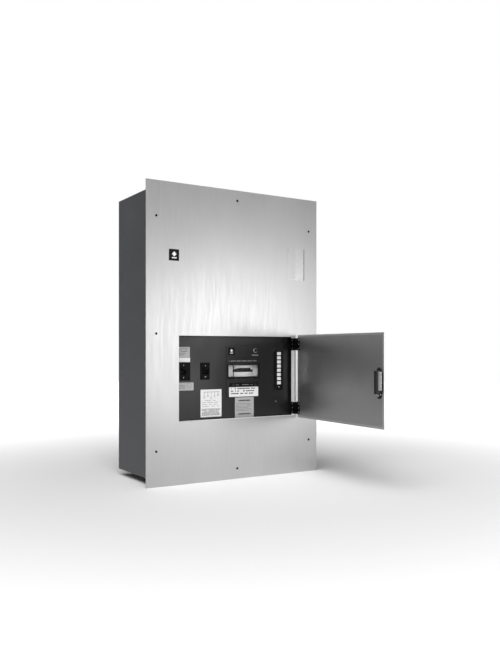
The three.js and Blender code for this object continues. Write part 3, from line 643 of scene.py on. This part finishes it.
def print_lines(shape, x, z, face, rows, height, fill=1.0, ragged=0.25):
    """Rows of short dashes that stand for small print, without any letters."""
    shortest, longest, gap, least = 2.5, 8.5, 1.3, 1
    pitch = (z[1] - z[0]) / rows
    for row in range(rows):
        top = z[1] - row * pitch
        at, end = x[0], x[0] + (x[1] - x[0]) * (1 - random.uniform(0, ragged))
        while at < end:
            word = min(random.uniform(shortest, longest), end - at)
            if random.random() < fill and word > least:
                printed(shape, (at, at + word), (top - height, top), face)
            at += word + gap


# ---------------------------------------------------------------- trim, box and badge

def trim_details():
    """The trim, the jamb, the box and the eight screws that hold the trim."""
    refined("front_trim", 0.35, 3)
    refined("door_jamb", 0.25)
    refined("back_box", 0.9, 3)
    head_h = 2.6
    template = cross_screw(4.5, head_h, 2.3, 12)
    for node in sorted(n for n in frame["nodes"] if n.startswith("trim_screw_")):
        x, (front, _), z = box_mm(node)
        at = (middle(x), front + head_h, middle(z))
        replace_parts(screws(node + "_fine", [at], template, "enclosure", "black_steel"), node)


def emblem(shape, x, z, half, depth):
    """A plain mark around (x, z), `half` above and below it: a lozenge over a bar."""
    side = half * 0.75
    shape.prism([(x, z + half), (x - side, z + half * 0.25), (x, z - half * 0.5),
                 (x + side, z + half * 0.25)], "y", *depth)
    shape.box((x - side, x + side), depth, (z - half, z - half * 0.68))


def badge_details():
    """A stepped black badge with a plain light emblem."""
    (x0, x1), (face, back), (z0, z1) = box_mm("badge")
    rim, step = 2, 0.5
    shape = Shape().rounded((x0, x1), (face + step, back), (z0, z1), 2)
    shape.rounded((x0 + rim, x1 - rim), (face, face + step), (z0 + rim, z1 - rim), 1.5)
    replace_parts(shape.done("badge_fine", "enclosure", "bezel_plastic", 0.25), "badge")
    light = Shape()
    emblem(light, middle((x0, x1)), middle((z0, z1)), (z1 - z0) * 0.3, (face - 0.4, face))
    light.done("badge_emblem", "enclosure", "white_print", 0.12)


def nameplate_details():
    """A plate in two fields, bright and dull, with a raised right edge."""
    refined("nameplate", 0.2)
    (x0, x1), (face, _), (z0, z1) = box_mm("nameplate")
    split, margin = x0 + (x1 - x0) * 0.46, 6
    inside = (z0 + margin, z1 - margin)
    bright = Shape().rounded((split, x1 - margin), (face - 0.4, face), inside, 1)
    bright.done("nameplate_panel_right", "enclosure", "nameplate_steel", 0.12)
    dull = Shape().rounded((x0 + 5, split - 3), (face - 0.2, face), inside, 1)
    dull.done("nameplate_panel_left", "enclosure", "trim_steel", 0.12)
    rim = Shape().box((x1 - 2.6, x1), (face - 2.2, face), (z0 + 1, z1 - 1))
    rim.done("nameplate_rim", "enclosure", "zinc_steel", 0.2)


def box_details():
    """Concentric knockouts in the end walls, and spot welds down the sides."""
    (x0, x1), (front, back), (z0, z1) = box_mm("back_box")
    rings, width, proud, y = Shape(), 1.4, 0.6, -160
    for x in (-240, -130, 130, 240):
        for low, high in ((z1, z1 + proud), (z0 - proud, z0)):
            for radius in (11, 17, 22):
                rings.ring((x, y), "z", radius, radius + width, low, high)
    rings.done("knockout_rings", "enclosure", "box_paint", 0.1, 1)
    welds, radius, proud = Shape(), 3.2, 0.18
    rows, from_end, from_edge = 11, 34, 14
    for row in range(rows):
        z = z0 + from_end + row * (z1 - z0 - 2 * from_end) / (rows - 1)
        for y in (front + from_edge, back - from_edge):
            welds.disc((y, z), "x", radius, x0 - proud, x0, 20)
            welds.disc((y, z), "x", radius, x1, x1 + proud, 20)
    welds.done("spot_welds", "enclosure", "box_paint", 0.08, 1)


# ---------------------------------------------------------------- dead front and labels

# Where things on the dead front are that no CAD node gives, as (x0, x1), (z0, z1).
UPPER_TAG = (-250, -186), (-88, -48)
WHITE_TAG = (-250, -185), (-106, -89)
LOWER_TAG = (-250, -170), (-213, -183)
BREAKER_NOSE = {"main": ((-246, -186), (-175, -106)), "branch": ((-140, -102), (-173, -109))}
SMALL_SCREW_AT = (207, -269)


def dead_front_details():
    """The dead front, what carries it and the breakers, and its screws."""
    refined("dead_front", 0.4)
    for node in ("interior_bracket_left", "interior_bracket_right", "breaker_pan"):
        refined(node, 0.4)
    (x0, x1), (face, _), (z0, z1) = box_mm("dead_front")
    places = [(x, face, z) for x in (x0 + 15, x1 - 15) for z in (z0 + 14, z1 - 14)]
    template = cross_screw(3.4, 1.9, 1.6, 3)
    screws("dead_front_screws", places, template, "enclosure", "bright_steel")
    x, z = SMALL_SCREW_AT
    small = cross_screw(2.4, 1.3, 1.2, 2)
    screws("dead_front_small_screw", [(x, face, z)], small, "enclosure", "zinc_steel")


def circuit_label_details():
    """A white card with a small wiring sketch above rows of small print."""
    refined("circuit_label", 0.15)
    (x0, x1), (face, _), (z0, z1) = box_mm("circuit_label")
    ink, line = Shape(), 0.8
    bus = (z1 - 10.2, z1 - 9)
    printed(ink, (x0 + 12, x1 - 10), bus, face)
    for k, drop in enumerate((17, 11, 21, 14, 9)):
        x = x0 + 16 + 15 * k
        printed(ink, (x - 0.5, x + 0.5), (bus[0] - drop, bus[0]), face)
        low = bus[0] - drop - 6
        for left in (x - 3.6, x + 2.8):
            printed(ink, (left, left + line), (low, low + 6), face)
        for level in (low, low + 5.2):
            printed(ink, (x - 2.8, x + 2.8), (level, level + line), face)
    print_lines(ink, (x0 + 5, x1 - 5), (z0 + 34, z1 - 42), face, 4, 1.3, fill=0.75, ragged=0.3)
    print_lines(ink, (x0 + 5, x1 - 5), (z0 + 5, z0 + 32), face, 8, 1.7, fill=0.95, ragged=0.1)
    ink.done("circuit_label_print", "enclosure", "pointer_black")


def warning_label_details():
    """The label under the monitor: two heavy lines with small print between them."""
    refined("warning_label", 0.15)
    (x0, x1), (face, _), (z0, z1) = box_mm("warning_label")
    ink = Shape()
    print_lines(ink, (x0 + 16, x1 - 16), (z1 - 19, z1 - 10), face, 1, 5.5, ragged=0.0)
    print_lines(ink, (x0 + 6, x1 - 6), (z0 + 28, z1 - 24), face, 6, 1.2, fill=0.85, ragged=0.2)
    print_lines(ink, (x0 + 14, x1 - 14), (z0 + 14, z0 + 22), face, 1, 5.0, ragged=0.0)
    ink.done("warning_label_print", "enclosure", "pointer_black")


def breaker_tags():
    """Grey and white tags above and below the main breaker."""
    _, (face, _), _ = box_mm("dead_front")
    thick, white_thick = 0.5, 0.6
    grey = Shape()
    for x, z in (UPPER_TAG, LOWER_TAG):
        grey.rounded(x, (face - thick, face), z, 1)
    grey.done("breaker_tags_grey", "enclosure", "grey_print", 0.12)
    white = Shape().rounded(WHITE_TAG[0], (face - white_thick, face), WHITE_TAG[1], 1)
    white.done("breaker_tag_white", "enclosure", "white_print", 0.12)
    ink = Shape()
    for ((x0, x1), (z0, z1)), right, rows, height in (
        (UPPER_TAG, 4, 5, 1.6), (LOWER_TAG, 6, 4, 1.2),
    ):
        print_lines(ink, (x0 + 5, x1 - right), (z0 + 4, z1 - 4), face - thick, rows, height, 0.8)
    ink.done("breaker_tags_print", "enclosure", "pointer_black")


def breaker_details(kind):
    """Raised ribs round the case's nose, and an index line and a ring above and below."""
    case, handle = f"{kind}_breaker_case", f"{kind}_breaker_handle"
    refined(case, 0.6, 3)
    refined(handle, 0.5, 3)
    front, centre = box_mm(case)[1][0], middle(box_mm(handle)[0])
    (x0, x1), (z0, z1) = BREAKER_NOSE[kind]
    ribs, depth, width = Shape(), (front - 0.7, front), 1.2
    for z in (z0 + 5, z1 - 6.2):
        ribs.rounded((x0 + 3, x1 - 3), depth, (z, z + width), 0.5)
    for x in (x0 + 1.6, x1 - 2.8):
        ribs.box((x, x + width), depth, (z0 + 8, z1 - 8))
    ribs.done(f"{kind}_breaker_ribs", "enclosure", "breaker_plastic", 0.2)
    marks = Shape()
    printed(marks, (centre - 0.6, centre + 0.6), (z1 - 12.5, z1 - 9), front)
    marks.ring((centre, z0 + 10.5), "y", 1.2, 1.9, front - INK, front)
    marks.done(f"{kind}_breaker_marks", "enclosure", "white_print")


# ---------------------------------------------------------------- isolation monitor

SCALE_X, SCALE_Y, SCALE_RADIUS = 58, -171, 110  # the arc that the meter's scale follows
SCALE_CLEAR = 0.05  # keeps its print clear of the scale's facets
STRIP_PROUD = 2  # how far the faceplate's strip with the buttons stands out
STRIP_PRINT = (-13.4, 119.4), (-204.4, -189.6)
MONITOR_BADGE = (-19, 11), (-79, -50)
BUTTONS = ("test_button", "silence_button")


def scale_front(x):
    """The Y of the curved scale's front at a place across its width."""
    return SCALE_Y - math.sqrt(SCALE_RADIUS ** 2 - (x - SCALE_X) ** 2)


def scale_patch(shape, columns):
    """Print that follows the curved scale, from (x, lowest, highest) columns."""
    loops = []
    for x, low, high in columns:
        front, back = scale_front(x) - INK - SCALE_CLEAR, scale_front(x) + 0.02
        corners = [(front, low), (front, high), (back, high), (back, low)]
        loops.append(shape.loop(corners, "x", x))
    faces = [shape.bm.faces.new(loops[0]), shape.bm.faces.new(loops[-1])]
    for a, b in zip(loops, loops[1:]):
        faces += [shape.quad(a, b, i) for i in range(len(a))]
    shape.turned_outwards(faces)


def meter_details():
    """The edgewise meter: its curved scale with ticks and a tapered band, window and frame."""
    scale = refined("meter_scale", 0.1, 1)
    # painted light: the scale and its wing get a whiter card than the labels, against the shade in the meter's
    # recess
    scale.data.materials[0] = LOOKS["scale_lit_white"].material
    (_, end), _, z = box_mm("meter_scale")
    wing = Shape().box((end + 0.1, end + 21), (scale_front(end), scale_front(end) + 1), z)
    place(wing.mesh("meter_scale_wing"), "meter_scale_wing", "enclosure", "white_print",
          look="scale_lit_white")
    refined("meter_pointer", 0.15, 2)
    refined("meter_movement", 0.4, 2)
    refined("meter_window", 0.3, 2)
    (x0, x1), (front, back), (z0, z1) = box_mm("meter_window")
    lap, gap, y = 2.2, 0.2, (front - 1.2, back)
    surround = Shape()
    surround.box((x0 - lap, x1 + lap), y, (z1 + gap, z1 + lap + gap))
    surround.box((x0 - lap, x1 + lap), y, (z0 - lap - gap, z0 - gap))
    for x in ((x0 - lap, x0 - gap), (x1 + gap, x1 + lap)):
        surround.box(x, y, (z0 - gap, z1 + gap))
    surround.done("meter_frame", "enclosure", "bezel_plastic", 0.35)
    ink, foot, width = Shape(), -131.0, 0.6
    for i in range(21):
        x = 12 + 4.4 * i
        top = foot + (6 if i % 5 == 0 else 3.4)
        scale_patch(ink, [(x, foot, top), (x + width, foot, top)])
    steps, level, band = 12, -137.5, []
    for i in range(steps + 1):
        half = 1.0 + 5.6 * min(1, i / 4)
        band.append((8 + 82 * i / steps, level - half, level + half))
    scale_patch(ink, band)
    ink.done("meter_scale_print", "enclosure", "pointer_black")


def button_strip(front):
    """The black strip printed round the push buttons. Gives the Y of the strip's new front."""
    thick = 0.15
    x, z = STRIP_PRINT
    strip = Shape().rounded(x, (front - thick, front), z, 1)
    holes = Shape()
    for node in BUTTONS:
        x, _, z = box_mm(node)
        holes.disc((middle(x), middle(z)), "y", 5.4, front - 1, front + 1)
    strip = cut_from(strip.mesh("button_strip"), holes.mesh("button_holes"))
    place(strip, "button_strip_print", "enclosure", "bezel_plastic")
    return front - thick


def monitor_details():
    """The monitor's badge, button strip, legends and label, all without letters."""
    refined("monitor_faceplate", 0.4)
    refined("monitor_chassis", 0.4)
    refined("monitor_label", 0.15)
    strip_front = box_mm("monitor_faceplate")[1][0]
    face = strip_front + STRIP_PROUD
    x, z = MONITOR_BADGE
    badge = Shape().rounded(x, (face - 1, face), z, 1.5)
    badge.done("monitor_badge", "enclosure", "bezel_plastic", 0.25)
    mark = Shape()
    emblem(mark, middle(x), middle(z), 9, (face - 1.2, face - 1))
    mark.done("monitor_badge_mark", "enclosure", "white_print", 0.1)
    strip_front = button_strip(strip_front)
    legend = Shape()
    for i in range(15):
        x = -14 + i * 8.6
        printed(legend, (x, x + (5.5 if i % 3 else 3)), (-104.4, -101.6), face)
    for i in range(9):
        x = 14 + i * 9.6
        for z in ((-114.5, -112), (-176, -173.5)):
            printed(legend, (x, x + 1), z, face)
    print_lines(legend, (92, 120), (-85, -79), face, 1, 2.4, ragged=0.0)
    for x in (18, 24, 84, 90):
        printed(legend, (x, x + 2.4), (-198.2, -195.8), strip_front)
    print_lines(legend, (34, 76), (-199, -196), strip_front, 1, 1.4, fill=0.7, ragged=0.0)
    legend.done("monitor_legends", "enclosure", "grey_print")
    (x0, x1), (face, _), (z0, z1) = box_mm("monitor_label")
    ink = Shape()
    print_lines(ink, (x0 + 8, x1 - 8), (z0 + 5, z1 - 4), face, 3, 4.2, fill=0.85, ragged=0.1)
    ink.done("monitor_label_print", "enclosure", "pointer_black")
    for node in BUTTONS:
        refined(node, 0.25)


def lamp_details():
    """The status lamp's bright bezel and its dark, unlit lens, and the strip of eight lenses."""
    x, (tip, back), z = box_mm("status_lamp")
    centre = (middle(x), middle(z))
    base = tip + 8.4
    ring = Shape().turned([
        (0, back), (7, back), (7, base), (9, base), (9, base - 1.2), (8.3, base - 2.6),
        (7.2, base - 3.2), (6.4, base - 2.6), (6.2, base - 1), (0, base - 1),
    ], centre, "y", 40)
    lamp = ring.done("status_lamp_bezel", "enclosure", "bright_steel", 0.15)
    dome = Shape().turned([
        (0, base - 0.9), (5.9, base - 0.9), (5.9, base - 2.6), (5.5, base - 4.6), (4.4, base - 6.3),
        (2.6, base - 7.5), (1.2, base - 7.95), (0, base - 8.1),
    ], centre, "y", 40)
    dome.done("status_lamp_lens", "enclosure", "bezel_plastic")
    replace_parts(lamp, "status_lamp")
    refined("indicator_bezel", 0.7, 3)
    for i in range(1, 9):
        refined(f"indicator_lens_{i}", 0.9, 3)
    x, (front, _), (low, _) = box_mm("indicator_bezel")
    template = cross_screw(2.7, 1.4, 1.2, 2)
    screws("indicator_screw", [(middle(x), front, low + 11)], template, "enclosure", "bright_steel")


# ---------------------------------------------------------------- hinges, door and latch

LEAF = 1.5  # thickness of the hinge leaves and of the latch's tray, on the door's inner face
HEM = 8
LATCH_HOLE = (-250, -223), (-229.5, -119.5)


def hinge_details():
    """The two hinges: leaves, a pin with a head, and three screws in each leaf."""
    template = cross_screw(2.6, 0.8, 1.2, 0.8)
    for end in ("upper", "lower"):
        refined(f"hinge_frame_leaf_{end}", 0.3)
        refined(f"hinge_door_leaf_{end}", 0.3)
        x, y, (z0, z1) = box_mm(f"hinge_pin_{end}")
        pin = Shape().turned([
            (0, z0 - 0.6), (0.9, z0 - 0.4), (1.5, z0 + 0.2), (1.5, z1 - 0.9), (2.4, z1 - 0.9),
            (2.4, z1), (1.7, z1 + 0.8), (0.8, z1 + 1.1), (0, z1 + 1.2),
        ], (middle(x), middle(y)), "z", 24)
        pin = pin.done(f"hinge_pin_{end}_fine", "enclosure", "zinc_steel")
        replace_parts(pin, f"hinge_pin_{end}")
        (left, _), _, (z0, z1) = closed_box_mm(f"hinge_door_leaf_{end}")
        places = [(left + 6.5, DOOR_INNER + LEAF, z) for z in (z0 + 7, middle((z0, z1)), z1 - 7)]
        screws(f"hinge_door_screws_{end}", places, template, "door", "zinc_steel", "+y",
               on_door=True)
        (left, _), (_, back), (z0, z1) = box_mm(f"hinge_frame_leaf_{end}")
        places = [(left, back - 8, z) for z in (z0 + 8, middle((z0, z1)), z1 - 8)]
        screws(f"hinge_frame_screws_{end}", places, template, "enclosure", "zinc_steel", "-x")


def door_details():
    """The door's folded edges and the lining of its inner face, cut out round the latch. The lining is painted
    shade: a darker copy of the trim's steel.
    """
    refined("door_panel", 0.4, 3)
    (x0, x1), _, (z0, z1) = closed_box_mm("door_panel")
    gap, y = 0.3, (DOOR_INNER, DOOR_INNER + 0.9)
    folds = Shape()
    folds.box((x0 + 1, x0 + HEM), y, (z0 + 1, z1 - 1))
    for z in ((z0 + 1, z0 + HEM), (z1 - HEM, z1 - 1)):
        folds.box((x0 + HEM + gap, x1 - 22), y, z)
    folds.done("door_hems", "door", "trim_steel", 0.3, on_door=True)
    # painted shade: a thin sheet of darker steel laid over the door's inner face to darken it
    sheet = Shape().box((x0 + HEM + gap, x1 - 0.6), (DOOR_INNER, DOOR_INNER + 0.22),
                        (z0 + HEM + gap, z1 - HEM - gap))
    x, z = LATCH_HOLE
    hole = Shape().rounded(x, (DOOR_INNER - 1, DOOR_INNER + 1), z, 12)
    shaded_lining = cut_from(sheet.mesh("shaded_door_lining"), hole.mesh("latch_hole"))
    shaded_lining.transform(SWING)
    place(shaded_lining, "shaded_door_lining", "door", "trim_steel", look="shaded_door_lining")


def latch_details():
    """The latch's parts, with a rivet in its tray and ribs across its case."""
    refined("latch_housing", 0.5, 3)
    refined("latch_paddle", 0.5, 3)
    refined("latch_tongue", 0.4, 3)
    refined("lock_cylinder", 0.25)
    tray = DOOR_INNER + LEAF
    rivet = Shape().turned([
        (0, tray), (2.6, tray), (2.6, tray + 3.2), (2.1, tray + 4.3), (1.1, tray + 4.9),
        (0, tray + 5),
    ], (-246.4, -214), "y", 24)
    rivet.done("latch_rivet", "door", "bright_steel", on_door=True)
    ribs, back = Shape(), closed_box_mm("latch_housing")[1][1]
    for z in (-203.5, -190, -176, -162, -148, -135.5):
        ribs.box((-247.5, -237), (back, back + 0.9), (z, z + 1.6))
    ribs.done("latch_case_ribs", "door", "latch_plastic", 0.25, on_door=True)


# ---------------------------------------------------------------- transformer and wiring

def supply_details():
    """What lies behind the blank upper half, with four bolts through the core."""
    refined("transformer_core", 0.4)
    refined("transformer_coil", 1.5, 3)
    refined("transformer_leads", 0)
    for node in ("transformer_bracket_lower", "transformer_bracket_upper", "ground_bus",
                 "terminal_block"):
        refined(node, 0.35)
    (x0, x1), (front, _), (z0, z1) = box_mm("transformer_core")
    places = [(x, front, z) for x in (x0 + 22, x1 - 22) for z in (z0 + 20, z1 - 20)]
    screws("core_bolts", places, hex_nut(9, 6, 4.5), "enclosure", "zinc_steel")


random.seed(7)
SCENE.view_settings.view_transform = "Standard"
add_camera()
add_world()
add_lights()
add_floor()
trim_details()
badge_details()
nameplate_details()
box_details()
dead_front_details()
circuit_label_details()
warning_label_details()
breaker_tags()
breaker_details("main")
breaker_details("branch")
meter_details()
monitor_details()
lamp_details()
hinge_details()
door_details()
latch_details()
supply_details()
